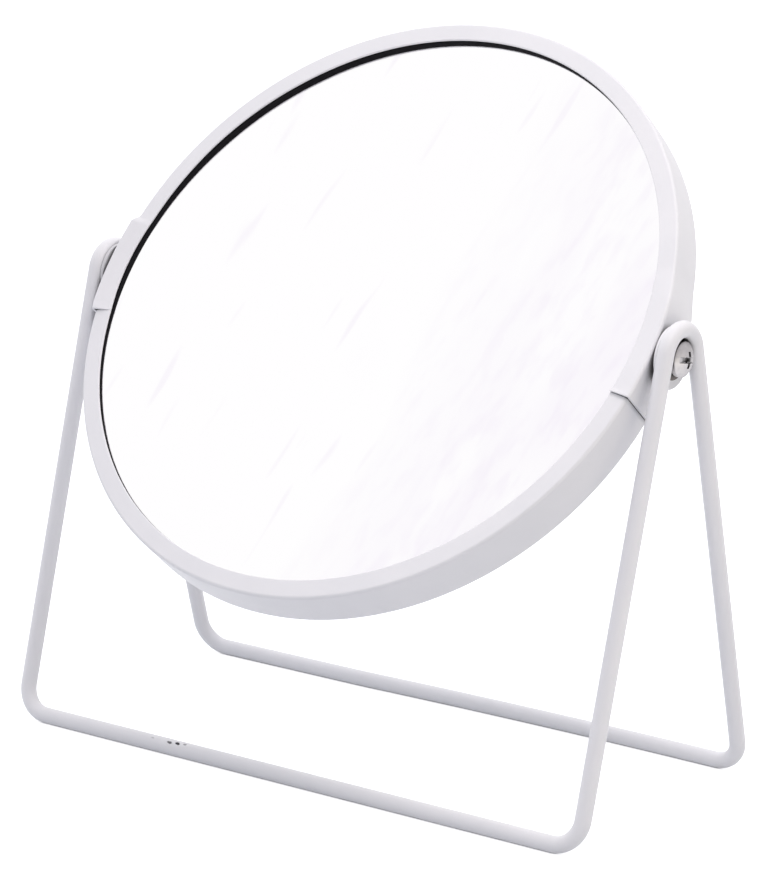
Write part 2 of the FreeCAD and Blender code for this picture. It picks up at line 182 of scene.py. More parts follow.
def pointOutwards(piece):
    shape = bmesh.new()
    shape.from_mesh(piece.data)
    bmesh.ops.remove_doubles(shape, verts=shape.verts, dist=1e-7)
    bmesh.ops.recalc_face_normals(shape, faces=shape.faces)
    shape.to_mesh(piece.data)
    shape.free()
    return piece


def place(piece, matrix):
    piece.data.transform(matrix)
    piece.data.update()
    return piece


def fit(piece, body, slot, material, *replaced):
    piece.data.materials.clear()
    piece.data.materials.append(material)
    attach(piece, body)
    if replaced:
        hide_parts(*replaced)
    return piece


pivot = Vector(frame["joints"][0]["pos_m"])
mirrorLean = 39.5  # degrees from upright at rest
hang = Matrix.Translation(pivot) @ Matrix.Rotation(math.radians(90 - mirrorLean), 4, "X")


def newMaterial(name):
    material = bpy.data.materials.new(name)
    material.use_nodes = True
    material.node_tree.nodes.clear()
    return material, material.node_tree


powderCoatLook = {
    "colour": "#EAE9EC", "shade": "#E1E1E5",  # baked white, a touch cool
    "roughness": (0.37, 0.47),
    "peel": grainOf(1.1, 2.0, 0.45), "speck": grainOf(0.3, 1.0), "cloud": grainOf(14, 4.0, 0.55),
    "speckShare": 0.12, "peelHeight": 0.012, "peelStrength": 0.35,
    # painted shade in the gaps between parts, read from how open each point is within its reach;
    # deeper on the left half, none near the table
    "gapShade": "#17161B", "gapShadeDepth": 0.92, "gapReach": 6.0,
    "gapShut": 0.1, "gapOpenLeft": 0.55, "gapOpenRight": 0.38, "clearBelow": 12,
}


def powderCoat(name, chips=None):
    # Satin white polyester powder coat, sprayed and baked over steel: even colour, a soft wide
    # sheen and a fine orange peel. Painted shade darkens the narrow gaps between the parts and
    # beside the flares' cut ends, and where the coat is chipped the dark steel shows.
    look = powderCoatLook
    material, tree = newMaterial(name)
    where = addNode(tree, "TexCoord", {}).outputs["Object"]
    peel, speck, cloud = (addNode(tree, "TexNoise", {"Vector": where, **look[grain]})
                          for grain in ("peel", "speck", "cloud"))
    grain = addNode(tree, "Math", {0: speck, 1: look["speckShare"], 2: peel}, operation="MULTIPLY_ADD")
    bump = addNode(tree, "Bump", {
        "Strength": look["peelStrength"], "Distance": look["peelHeight"] * mm, "Height": grain})
    rough = addNode(tree, "MapRange", between(peel, 0.0, 1.0, *look["roughness"]))
    colour = addNode(tree, "Mix", {
        "Factor": cloud, "A": hexColour(look["shade"]), "B": hexColour(look["colour"])}, data_type="RGBA")
    # painted shade in the gaps and beside the cut ends
    colour = addNode(tree, "Mix", {
        "Factor": shadeInGaps(tree, where, look), "A": colour, "B": hexColour(look["gapShade"])}, data_type="RGBA")
    if chips:
        bare = chipMask(tree, where, chips)
        colour = addNode(tree, "Mix", {
            "Factor": bare, "A": colour, "B": hexColour(chips["steel"])}, data_type="RGBA")
        rough = addNode(tree, "Mix", {"Factor": bare, "A": rough, "B": chips["steelRoughness"]})
    shader = addNode(tree, "BsdfPrincipled", {
        "Base Color": colour, "Roughness": rough, "Normal": bump, "IOR": 1.5})
    addNode(tree, "OutputMaterial", {"Surface": shader})
    return material


def shadeInGaps(tree, where, look):
    # painted shade: darker where a point is closed in by what lies around it, more so on the left
    # half, and along the rim's cut ends and the left plate's rim; none near the table
    openness = addNode(tree, "AmbientOcclusion", {"Distance": look["gapReach"] * mm}, samples=8)
    at = addNode(tree, "SeparateXYZ", {0: where}).outputs
    openFrom = addNode(tree, "MapRange", between(
        at["X"], -rim["radius"] * mm, rim["radius"] * mm, look["gapOpenLeft"], look["gapOpenRight"]))
    closed = addNode(tree, "MapRange", between(
        openness.outputs["AO"], look["gapShut"], openFrom, look["gapShadeDepth"], 0.0))
    clear = addNode(tree, "MapRange", between(
        at["Z"], look["clearBelow"] * mm, 2 * look["clearBelow"] * mm))
    gaps = addNode(tree, "Math", {0: closed, 1: clear}, operation="MULTIPLY")
    seam = addNode(tree, "Attribute", {}, attribute_name="seam").outputs["Fac"]
    return addNode(tree, "Math", {0: gaps, 1: seam}, operation="MAXIMUM")


def chipMask(tree, where, chips):
    # ragged bare spots, each an ellipse about its own point
    ragged = addNode(tree, "TexNoise", {"Vector": where, **chips["rag"]})
    bare = None
    for along, turn, length, width, depth in chips["spots"]:
        near = addNode(tree, "Mapping", {
            "Vector": where, "Location": onFrontBar(along, turn),
            "Scale": [length * mm / 2, width * mm / 2, width * mm / 2],
            "Rotation": [0, math.radians(chips["slant"]), 0]}, vector_type="TEXTURE")
        away = addNode(tree, "VectorMath", {0: near}, operation="LENGTH")
        edge = addNode(tree, "Math", {0: ragged, 1: chips["ragDepth"], 2: away}, operation="MULTIPLY_ADD")
        spot = addNode(tree, "MapRange", between(
            edge, chips["bareWithin"], chips["coatedBeyond"], depth, 0.0))
        bare = spot if bare is None else addNode(
            tree, "Math", {0: bare, 1: spot}, operation="MAXIMUM")
    return bare


def onFrontBar(along, turn):
    # a point on the front bar's surface, from its place along the bar and its angle up from the front
    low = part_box("wire_frame")[0]
    radius = wire["diameter"] / 2 * mm
    angle = math.radians(turn)
    return [along * mm, low.y + radius - radius * math.cos(angle), radius + radius * math.sin(angle)]


silverLook = {
    "flat": "#FFFEFF", "curved": "#FAF9FA",
    "haze": grainOf(9, 3.0), "wipeTurn": 35, "wipeStretch": 0.12, "hazy": (0.45, 0.8), "hazeRoughness": 0.03,
}


def silveredGlass(name, tint):
    # Float glass silvered behind and seen face on: a clean mirror, with a trace of wiping haze.
    look = silverLook
    material, tree = newMaterial(name)
    where = addNode(tree, "TexCoord", {}).outputs["Object"]
    wiped = addNode(tree, "Mapping", {
        "Vector": where, "Rotation": [0, 0, math.radians(look["wipeTurn"])],
        "Scale": [1.0, look["wipeStretch"], look["wipeStretch"]]})
    haze = addNode(tree, "TexNoise", {"Vector": wiped, **look["haze"]})
    rough = addNode(tree, "MapRange", between(haze, *look["hazy"], 0.0, look["hazeRoughness"]))
    shader = addNode(tree, "BsdfPrincipled", {
        "Base Color": hexColour(tint), "Metallic": 1.0, "Roughness": rough})
    addNode(tree, "OutputMaterial", {"Surface": shader})
    return material


zincLook = {
    "mottle": grainOf(0.9, 4.0), "roughness": (0.42, 0.58), "bumpHeight": 0.01, "bumpStrength": 0.3,
    # painted shade in the drive recess and the narrow gaps, read from how open each point is
    "recessShade": "#1C1B1D", "gapReach": 2.0, "gapShut": 0.25, "gapOpen": 0.86,
}


def zincSteel(name, dark, light):
    # Zinc plate on steel fasteners: pale grey metal, slightly mottled, soft highlights. Painted
    # shade darkens the drive recess and the narrow gaps.
    look = zincLook
    material, tree = newMaterial(name)
    where = addNode(tree, "TexCoord", {}).outputs["Object"]
    mottle = addNode(tree, "TexNoise", {"Vector": where, **look["mottle"]})
    openness = addNode(tree, "AmbientOcclusion", {"Distance": look["gapReach"] * mm}, samples=8)
    recessShade = addNode(tree, "MapRange", between(
        openness.outputs["AO"], look["gapShut"], look["gapOpen"], 1.0, 0.0))
    colour = addNode(tree, "Mix", {
        "Factor": mottle, "A": hexColour(dark), "B": hexColour(light)}, data_type="RGBA")
    colour = addNode(tree, "Mix", {
        "Factor": recessShade, "A": colour, "B": hexColour(look["recessShade"])}, data_type="RGBA")
    rough = addNode(tree, "MapRange", between(mottle, 0.0, 1.0, *look["roughness"]))
    bump = addNode(tree, "Bump", {
        "Strength": look["bumpStrength"], "Distance": look["bumpHeight"] * mm, "Height": mottle})
    shader = addNode(tree, "BsdfPrincipled", {
        "Base Color": colour, "Metallic": 1.0, "Roughness": rough, "Normal": bump})
    addNode(tree, "OutputMaterial", {"Surface": shader})
    return material


# dark and light colour, grain, roughness, specular level, bump strength and height
sheetLooks = {
    # black extruded rubber: deep black and dull, with a fine texture
    "black_packing_rubber": ("#0E0D10", "#1B1A1E", grainOf(0.4, 3.0), 0.9, 0.15, 0.4, 0.02),
    # paper pulp cured hard in zinc chloride: dark, horny, with a slight sheen
    "vulcanised_fibre": ("#3B2C28", "#54403A", grainOf(0.6, 5.0), 0.7, 0.5, 0.5, 0.05),
    # rolled grey board: dull, with coarse fibres
    "grey_millboard": ("#8C8882", "#A9A59E", grainOf(0.8, 5.0), 0.9, 0.5, 0.5, 0.05),
    # foam cut from sheet: dull and off-white, with open cells
    "white_eva_foam": ("#CFCEC9", "#E4E3DF", grainOf(0.5, 5.0), 0.95, 0.5, 0.5, 0.05),
}


def sheetStock(name):
    # Dull sheet or strip with its grain in colour and height.
    dark, light, grainInputs, roughness, specular, bumpStrength, bumpHeight = sheetLooks[name]
    material, tree = newMaterial(name)
    where = addNode(tree, "TexCoord", {}).outputs["Object"]
    grain = addNode(tree, "TexNoise", {"Vector": where, **grainInputs})
    colour = addNode(tree, "Mix", {
        "Factor": grain, "A": hexColour(dark), "B": hexColour(light)}, data_type="RGBA")
    bump = addNode(tree, "Bump", {"Strength": bumpStrength, "Distance": bumpHeight * mm, "Height": grain})
    shader = addNode(tree, "BsdfPrincipled", {
        "Base Color": colour, "Roughness": roughness, "Specular IOR Level": specular, "Normal": bump})
    addNode(tree, "OutputMaterial", {"Surface": shader})
    return material


wire = {
    "diameter": 4.28,
    "rightEyeBend": 7.3, "leftEyeBend": 7.1,  # centreline of the bend around each pivot
    "cornerBend": 7.5,  # centreline of the bends at the table
    "sideLean": 0.885,  # a side frame leans in by this at the table
    "sides": 40, "bendStep": 4, "runStep": 6.0,
    "weldAt": -38.0, "weldReach": 8.0, "weldStep": 0.3,  # butt weld in the front bar
    "weldBead": 0.03,  # the bead swells the wire by this share
    "weldRoughness": 0.10, "lumps": grainOf(2.2, 3.0), "seed": 7,
    "rearBow": 1.2, "bowMiddle": 30.0, "bowReach": 62.0,  # the rear bar is bent back a little
}


def eyeApex(centre, foot, halfSpacing, bend):
    # where the lines of the two legs would meet above the eye
    rise = (centre - foot).length
    lean = math.acos(bend / math.hypot(halfSpacing, rise)) - math.atan2(rise, halfSpacing)
    return centre + (centre - foot).normalized() * (bend / math.sin(lean))


def wirePath():
    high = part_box("wire_frame")[1]
    radius = wire["diameter"] / 2
    halfSpacing = high.y / mm - radius
    eyeX = high.x / mm - radius
    corners = []
    for side, bend in ((1, wire["rightEyeBend"]), (-1, wire["leftEyeBend"])):
        foot = Vector((side * (eyeX - wire["sideLean"]), 0, radius))
        eye = Vector((side * eyeX, 0, pivot.z / mm))
        across = Vector((0, side * halfSpacing, 0))
        corners += [(foot - across, wire["cornerBend"]), (eyeApex(eye, foot, halfSpacing, bend), bend),
                    (foot + across, wire["cornerBend"])]
    line = fillRuns(roundCorners(corners, step=wire["bendStep"]))
    for point in line:
        if point.y > 0 and point.z < wire["diameter"]:
            point.y += wire["rearBow"] * hump(point.x, wire["bowMiddle"], wire["bowReach"])
    return line


def fillRuns(line):
    # extra points on the straight runs, close together at the weld
    filled = []
    reach, step = wire["weldReach"], wire["weldStep"]
    for start, end in zip(line, line[1:] + line[:1]):
        run = end - start
        parts = math.ceil(run.length / wire["runStep"])
        stops = [k / parts for k in range(parts)]
        frontBar = parts > 1 and max(start.y, end.y) < 0 and abs(run.z) < 0.1
        if frontBar:
            first = wire["weldAt"] - reach - start.x
            weld = [(first + k * step) / run.x for k in range(int(2 * reach / step) + 1)]
            stops = sorted([s for s in stops if not min(weld) < s < max(weld)] + weld)
        filled += [start + run * s for s in stops]
    return filled


def hump(value, middle, reach):
    # 1 in the middle, falling to 0 at the reach on either side
    return max(0, 1 - ((value - middle) / reach) ** 2)


def newTree(name, result, sockets):
    # a geometry tree with named inputs and one result
    tree = bpy.data.node_groups.new(name, "GeometryNodeTree")
    for socketName, kind in sockets.items():
        tree.interface.new_socket(socketName, in_out="INPUT", socket_type="NodeSocket" + kind)
    tree.interface.new_socket(result, in_out="OUTPUT", socket_type="NodeSocketGeometry")
    return tree, addNode(tree, "NodeGroupInput", {}).outputs


def endTree(tree, shape, finish, result):
    shape = addNode(tree, "GeometryNodeRealizeInstances", {"Geometry": shape})
    shape = addNode(tree, "GeometryNodeSetMaterial", {"Geometry": shape, "Material": finish})
    addNode(tree, "NodeGroupOutput", {result: shape})
    return tree


def unevenness(tree, grain, seed, amount):
    # noise about zero, up to half the amount either way
    noise = addNode(tree, "TexNoise", {**grain, "W": seed}, noise_dimensions="4D")
    centred = addNode(tree, "Math", {0: noise, 1: 0.5}, operation="SUBTRACT")
    return addNode(tree, "Math", {0: centred, 1: amount}, operation="MULTIPLY")


def wireTree():
    tree, given = newTree("wire_sweep", "Wire", {
        "Path": "Geometry", "Wire radius": "Float", "Sides": "Int", "Weld bead": "Float",
        "Weld lumps": "Float", "Seed": "Float", "Finish": "Material"})
    weld = addNode(tree, "GeometryNodeInputNamedAttribute", {"Name": "weld"}, data_type="FLOAT")
    line = addNode(tree, "GeometryNodeMeshToCurve", {"Mesh": given["Path"]})
    swell = addNode(tree, "Math", {0: weld, 1: given["Weld bead"], 2: 1.0}, operation="MULTIPLY_ADD")
    line = addNode(tree, "GeometryNodeSetCurveRadius", {"Curve": line, "Radius": swell})
    ring = addNode(tree, "GeometryNodeCurvePrimitiveCircle", {
        "Resolution": given["Sides"], "Radius": given["Wire radius"]})
    rod = addNode(tree, "GeometryNodeCurveToMesh", {"Curve": line, "Profile Curve": ring})
    height = unevenness(tree, wire["lumps"], given["Seed"], given["Weld lumps"])
    local = addNode(tree, "Math", {0: height, 1: weld}, operation="MULTIPLY")
    outwards = addNode(tree, "GeometryNodeInputNormal", {})
    push = addNode(tree, "VectorMath", {0: outwards, "Scale": local}, operation="SCALE")
    rod = addNode(tree, "GeometryNodeSetPosition", {"Geometry": rod, "Offset": push})
    rod = addNode(tree, "GeometryNodeSetShadeSmooth", {"Geometry": rod})
    return endTree(tree, rod, given["Finish"], "Wire")


def runTree(piece, tree, values):
    # sets a modifier's named inputs by their sockets' identifiers, then keeps the result as a plain mesh
    modifier = piece.modifiers.new(tree.name, "NODES")
    modifier.node_group = tree
    for item in tree.interface.items_tree:
        if item.in_out == "INPUT" and item.name in values:
            modifier[item.identifier] = values[item.name]
    return pointOutwards(settle(piece))


def makeWire(material):
    line = wirePath()
    piece = meshObject("stand_wire", line, edges=loopEdges(len(line)))
    mask = piece.data.attributes.new("weld", "FLOAT", "POINT")
    for k, point in enumerate(line):
        if point.y < 0 and point.z < wire["diameter"]:
            mask.data[k].value = hump(point.x, wire["weldAt"], wire["weldReach"]) ** 2
    runTree(piece, wireTree(), {
        "Wire radius": wire["diameter"] / 2 * mm, "Sides": wire["sides"], "Weld bead": wire["weldBead"],
        "Weld lumps": wire["weldRoughness"] * mm, "Seed": float(wire["seed"]), "Finish": material})
    piece.data.shade_smooth()
    return fit(piece, "stand", "powder_coat", material, "wire_frame")


rim = {
    "radius": 85.0, "depth": 12.7, "lipWidth": 5.1, "sheet": 0.7,
    "fold": 0.85, "lipEdge": 0.33, "foldStep": 9,  # outside fold, rounding of the lip's edge
    # a flare's height at the fold and at the lip's edge, where it starts above the pivot line, the
    # length of its step and where it is cut below the pivot line, in degrees; then how far the lip's
    # edge is bent in, and how far its cut end stands off at the fold, the lip's edge and the wall
    "flare": {"right": {"rise": 0.8, "edgeRise": 0.3, "top": 15.0, "step": 8.0, "end": 10.4,
                        "bow": 0.0, "gape": 0.15, "edgeGape": 0.35, "wallGape": 0.1},
              "left": {"rise": 1.05, "edgeRise": 0.0, "top": 10.15, "step": 1.9, "end": 10.35,
                       "bow": 0.4, "gape": 0.12, "edgeGape": 0.05, "wallGape": -0.3}},
    "edgeStep": 4.0,  # degrees of its step at the lip's edge
    "gapeLength": 2.2, "edgeGapeLength": 0.9,  # degrees over which its cut end stands off
    "seam": 0.95, "shadeBandWidth": 0.105,  # painted shadow beside its cut end, degrees wide
    "shadeBandClear": 1.2,  # the painted shadow at the left fades this far from the lip's edge
    "tongueEnd": 7.0, "tongueTuck": 3.4, "tuckLength": 0.8,  # the lip is cut back inside a flare
    "outOfRound": 0.4, "longAxis": 135,  # folds stand out by this at either end of an axis
    # at the left the lip is narrower and bends in
    "bowAt": 172, "bowReach": 45, "lipBow": 0.38, "dipAt": 183, "dipReach": 33, "lipDip": 0.31,
    "turnStep": 0.7, "cutStep": 0.06,  # degrees between stations, plain and at a cut or step
    "pivotHole": 4.4, "drillReach": 100, "drillSides": 48,
    "seed": 3, "unevenness": 0.05, "waves": grainOf(28, 1.0),
}


def rimSection(name):
    # the rounded U of the rim, open inwards, in its own X (outwards) and Y (to the front)
    outer, front = rim["radius"], rim["depth"] / 2
    lip, thick, fold, edge = outer - rim["lipWidth"], rim["sheet"], rim["fold"], rim["lipEdge"]
    corners = [(lip, -front, edge), (outer, -front, fold), (outer, front, fold), (lip, front, edge),
               (lip, front - thick, edge), (outer - thick, front - thick, fold - thick),
               (outer - thick, thick - front, fold - thick), (lip, thick - front, edge)]
    line = roundCorners([(Vector((x, y, 0)), radius) for x, y, radius in corners], step=rim["foldStep"])
    section = meshObject(name, [(p.x - outer, p.y, 0) for p in line], edges=loopEdges(len(line)))
    # how far a point follows the fold rather than the lip's edge, and the front or the back
    push = section.data.attributes.new("push", "FLOAT_VECTOR", "POINT")
    for k, point in enumerate(line):
        push.data[k].vector = (min(1, (point.x - lip) / (outer - fold - lip)),
                               math.copysign(1, point.y) * min(1, abs(point.y) / (front - fold)), 0)
    return section


def stations(first, last, fine):
    # angles in degrees from first to last, close together inside the fine spans
    angles = [first]
    while angles[-1] < last:
        close = any(low <= angles[-1] < high for low, high in fine)
        angles.append(min(last, angles[-1] + (rim["cutStep"] if close else rim["turnStep"])))
    return angles


def easeIn(share):
    share = min(1, max(0, share))
    return share * share * (3 - 2 * share)


def fromPivot(angle):
    # the flare on this side and the degrees above its pivot line
    right = angle < 90 or angle > 270
    return rim["flare"]["right" if right else "left"], (angle + 90) % 360 - 90 if right else 180 - angle


def gapeShare(angle, length):
    flare, above = fromPivot(angle)
    return easeIn((length - flare["end"] - above) / length)


def lipDip(angle):
    return rim["lipDip"] * hump(angle, rim["dipAt"], rim["dipReach"])


def foldMove(angle, flared):
    # how far the folds move outwards and away from the middle plane
    wide = rim["outOfRound"] * max(0, math.cos(2 * math.radians(angle - rim["longAxis"])))
    if not flared:
        return wide, 0, 0
    flare, above = fromPivot(angle)
    rise = flare["rise"] * easeIn((flare["top"] - above) / flare["step"])
    gape = gapeShare(angle, rim["gapeLength"])
    return rise + flare["wallGape"] * gape + wide, rise + flare["gape"] * gape, 0


def edgeMove(angle, flared):
    # the same for the lip's edge
    flare, above = fromPivot(angle)
    back = rim["lipBow"] * hump(angle, rim["bowAt"], rim["bowReach"])
    if not flared:
        tuck = rim["tongueTuck"] * easeIn((above + flare["end"]) / rim["tuckLength"])
        return back + tuck, -lipDip(angle), 0
    rise = flare["edgeRise"] * easeIn((flare["top"] - above) / rim["edgeStep"])
    gape = flare["edgeGape"] * gapeShare(angle, rim["edgeGapeLength"])
    return back + flare["bow"] * hump(above, 0, flare["top"]), rise + gape - lipDip(angle), 0


def shadeBandAt(angle, flared):
    # painted shadow on the lower half beside a flare's cut end
    flare, above = fromPivot(angle)
    past = -flare["end"] - above
    return 0.0 if flared else rim["seam"] * (1 - easeIn(past / rim["shadeBandWidth"] - 0.5))


def fadeShadeBand(piece):
    # at the left the painted shadow fades towards the lip's edge
    lip = rim["radius"] - rim["lipWidth"]
    for vertex, shadeMark in zip(piece.data.vertices, piece.data.attributes["seam"].data):
        if vertex.co.x < 0:
            shadeMark.value *= easeIn((vertex.co.xy.length / mm - lip) / rim["shadeBandClear"] - 0.5)


def rimTree():
    tree, given = newTree("rim_sweep", "Rim", {
        "Path": "Geometry", "Section": "Object", "Unevenness": "Float", "Seed": "Float",
        "Finish": "Material"})
    line = addNode(tree, "GeometryNodeMeshToCurve", {"Mesh": given["Path"]})
    held = addNode(tree, "GeometryNodeObjectInfo", {"Object": given["Section"]})
    section = addNode(tree, "GeometryNodeMeshToCurve", {"Mesh": held.outputs["Geometry"]})
    band = addNode(tree, "GeometryNodeCurveToMesh", {
        "Curve": line, "Profile Curve": section, "Fill Caps": True})
    # each point moves out from the centre and away from the middle plane, by one amount at the
    # folds and another at the lip's edge
    position = addNode(tree, "GeometryNodeInputPosition", {})
    flat = addNode(tree, "VectorMath", {0: position, 1: (1, 1, 0)}, operation="MULTIPLY")
    radial = addNode(tree, "VectorMath", {0: flat}, operation="NORMALIZE")
    push, foldBy, edgeBy = (
        addNode(tree, "GeometryNodeInputNamedAttribute", {"Name": name}, data_type="FLOAT_VECTOR")
        for name in ("push", "fold_move", "edge_move"))
    share = addNode(tree, "SeparateXYZ", {0: push}).outputs
    move = addNode(tree, "Mix", {"Factor": share["X"], "A": edgeBy, "B": foldBy}, data_type="VECTOR")
    parts = addNode(tree, "SeparateXYZ", {0: move}).outputs
    outwards = addNode(tree, "VectorMath", {0: radial, "Scale": parts["X"]}, operation="SCALE")
    level = addNode(tree, "Math", {0: parts["Y"], 1: share["Y"]}, operation="MULTIPLY")
    lowered = addNode(tree, "Math", {0: level, 1: -1.0}, operation="MULTIPLY")
    sideways = addNode(tree, "CombineXYZ", {"Z": lowered})
    offset = addNode(tree, "VectorMath", {0: outwards, 1: sideways}, operation="ADD")
    band = addNode(tree, "GeometryNodeSetPosition", {"Geometry": band, "Offset": offset})
    # hand work leaves the folds a little uneven
    dent = unevenness(tree, rim["waves"], given["Seed"], given["Unevenness"])
    drift = addNode(tree, "CombineXYZ", {"Z": dent})
    band = addNode(tree, "GeometryNodeSetPosition", {"Geometry": band, "Offset": drift})
    return endTree(tree, band, given["Finish"], "Rim")


def rimHalf(name, node, tree, section, first, last, flared, material):
    right, left = rim["flare"]["right"], rim["flare"]["left"]
    gape, tuck = rim["gapeLength"], rim["tuckLength"]
    if flared:
        fine = [(-right["end"], gape - right["end"]), (right["top"] - right["step"], right["top"]),
                (180 - left["top"], 180 - left["top"] + left["step"]),
                (180 + left["end"] - gape, 180 + left["end"])]
    else:
        seam = 2 * rim["shadeBandWidth"]  # a little of the lip beyond each cut, under the painted shadow
        fine = [(180 + left["end"] - tuck, 180 + left["end"] + seam),
                (360 - right["end"] - seam, 360 - right["end"] + tuck)]
    angles = stations(first, last, fine)
    turns = [math.radians(angle) for angle in angles]
    line = [(rim["radius"] * math.cos(a), rim["radius"] * math.sin(a), 0) for a in turns]
    piece = meshObject(name, line, edges=loopEdges(len(line))[:-1])
    carried = piece.data.attributes
    for attribute, kind in (("fold_move", "FLOAT_VECTOR"), ("edge_move", "FLOAT_VECTOR"), ("seam", "FLOAT")):
        carried.new(attribute, kind, "POINT")
    for k, angle in enumerate(angles):
        carried["fold_move"].data[k].vector = [part * mm for part in foldMove(angle, flared)]
        carried["edge_move"].data[k].vector = [part * mm for part in edgeMove(angle, flared)]
        carried["seam"].data[k].value = shadeBandAt(angle, flared)
    runTree(piece, tree, {
        "Section": section, "Unevenness": rim["unevenness"] * mm, "Seed": float(rim["seed"]),
        "Finish": material})
    fadeShadeBand(piece)
    hole, reach = rim["pivotHole"] / 2, rim["drillReach"]
    drill = lathe("drill", [(0, -reach), (hole, -reach), (hole, reach), (0, reach)], rim["drillSides"], False)
    cut(piece, place(drill, Matrix.Rotation(math.radians(90), 4, "Y")))
    smooth(place(piece, hang), sharpAbove=35)
    return fit(piece, "mirror_head", "powder_coat", material, node)


def makeRim(material):
    section, tree = rimSection("rim_section"), rimTree()
    rimHalf("upper_rim", "upper_rim_half", tree, section,
            -rim["flare"]["right"]["end"], 180 + rim["flare"]["left"]["end"], True, material)
    rimHalf("lower_rim", "lower_rim_half", tree, section,
            180 - rim["tongueEnd"], 360 + rim["tongueEnd"], False, material)
    bpy.data.objects.remove(section)


glass = {
    "radius": 81.3, "arris": 0.35, "sharpAbove": 5,
    "frontFace": 4.25, "frontThickness": 2.5,  # levels in front of the pivot plane
    # the front glass is pressed up in its packing, and more so at its lower edge
    "lift": 0.71, "askew": 0.5, "highSide": 295,
    "rearEdge": -4.25, "rearThickness": 2.0, "rearCurve": 1100.0,
    "segments": 256, "rearRings": 28,
}


def askewSeat():
    # the front glass's own place in the mirror: lifted, and tilted towards its high side
    turn = math.radians(glass["highSide"] + 90)
    tilt = -math.asin(glass["askew"] / glass["radius"])
    middle = Vector((0, 0, glass["frontFace"] * mm))
    return (Matrix.Translation(middle + Vector((0, 0, glass["lift"] * mm)))
            @ Matrix.Rotation(tilt, 4, Vector((math.cos(turn), math.sin(turn), 0)))
            @ Matrix.Translation(-middle))


def glassDisc(name, outline, seat, slot, material, node):
    disc = place(lathe(name, outline, glass["segments"], False), seat)
    disc.data.shade_smooth()
    disc.data.set_sharp_from_angle(angle=math.radians(glass["sharpAbove"]))
    return fit(disc, "mirror_head", slot, material, node)


def makeGlass(flatFinish, curvedFinish):
    radius, arris, face = glass["radius"], glass["arris"], glass["frontFace"]
    back = face - glass["frontThickness"]
    outline = [(0, face), (radius - arris, face), (radius, face - arris), (radius, back + arris),
               (radius - arris, back), (0, back)]
    glassDisc("front_mirror", outline, hang @ askewSeat(), "flat_mirror_glass", flatFinish,
              "front_mirror_glass")

    curve, thick = glass["rearCurve"], glass["rearThickness"]
    centre = glass["rearEdge"] - math.sqrt(curve ** 2 - radius ** 2)
    radii = [(radius - arris) * k / glass["rearRings"] for k in range(glass["rearRings"] + 1)]
    hollow, dome = ([(r, centre + math.sqrt(bow ** 2 - r ** 2)) for r in radii]
                    for bow in (curve, curve + thick))
    outline = hollow + [(radius, hollow[-1][1] + arris), (radius, dome[-1][1] - arris)] + dome[::-1]
    glassDisc("rear_magnifier", outline, hang, "curved_mirror_glass", curvedFinish, "rear_magnifying_glass")


packing = {
    "window": 79.85, "outer": 83.95, "top": 5.62, "foot": 1.75, "edgeGap": 0.1, "lip": 0.25,
}


def makeFrontPacking(material):
    # rubber strip of L section between the lip and the glass, which follows both
    inner, outer, top, foot, lip = (packing[k] for k in ("window", "outer", "top", "foot", "lip"))
    shelf, wall = glass["frontFace"], glass["radius"] + packing["edgeGap"]
    ring = lathe("front_packing", roundOutline([
        (inner, shelf, 0), (inner, top, lip), (outer, top, lip), (outer, foot, lip), (wall, foot, 0),
        (wall, shelf, 0)]), glass["segments"], True)
    seat = askewSeat()
    for vertex in ring.data.vertices:
        if abs(vertex.co.z - shelf * mm) < 1e-6:
            vertex.co.z = (seat @ vertex.co).z
        elif vertex.co.z > shelf * mm:
            vertex.co.z -= lipDip(math.degrees(math.atan2(vertex.co.y, vertex.co.x)) % 360) * mm
    smooth(place(ring, hang), sharpAbove=40)
    return fit(ring, "mirror_head", "packing_rubber", material, "front_packing_ring")


pivotPart = {
    "segments": 72, "bore": 4.4, "washerEdge": 0.12,
    "plateEdge": 0.3, "plateBore": 4.1, "fillet": 0.3,
    "plateThin": 0.4, "plateClear": 0.02,  # off each face of the plates, so that they run free
    "rimShade": 0.22,  # painted shade on the left plate's rim
    "springSlit": 0.6, "springRise": 0.12,
}
screw = {
    # the crown is the radius of the domed top, and the head stands proud of the solid's by so much
    "shank": 4.0, "head": 8.9, "headHeight": 3.0, "crown": 6.5, "seatEdge": 0.15, "proud": 0.05,
    "pitch": 0.7, "threadDepth": 0.3,
    "slotWidth": 1.5, "slotDepth": 0.95,
    "recessLength": 4.9, "recessWidth": 1.15, "recessDepth": 1.7, "recessTaper": 0.7,
    "turnRight": 9.0, "turnLeft": 52.0, "softEdge": 0.07, "softAbove": 38,
    "headSegments": 96, "crownRings": 16, "shankSegments": 32, "ringsPerTurn": 8,
}


def onAxis(side, station):
    # own Z outwards along the pivot line
    return Matrix.Translation((side * station * mm, 0, pivot.z)) @ Matrix.Rotation(side * math.pi / 2, 4, "Y")


def spanOnAxis(node):
    # distance from the middle plane to the near and far face of a pivot part, and its radius
    low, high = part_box(node)
    near, far = sorted((abs(low.x), abs(high.x)))
    return near / mm, far / mm, (high.z - low.z) / 2 / mm


def ringOutline(radius, thickness):
    bore, edge = pivotPart["bore"] / 2, pivotPart["washerEdge"]
    return roundOutline([(bore, 0, edge), (radius, 0, edge), (radius, thickness, edge),
                         (bore, thickness, edge)])


def makeWasher(name, node, side, slot, material, thicker=0.0):
    near, far, radius = spanOnAxis(node)
    piece = lathe(name, ringOutline(radius, far + thicker - near), pivotPart["segments"], True)
    smooth(place(piece, onAxis(side, near)))
    return fit(piece, "mirror_head", slot, material, node)


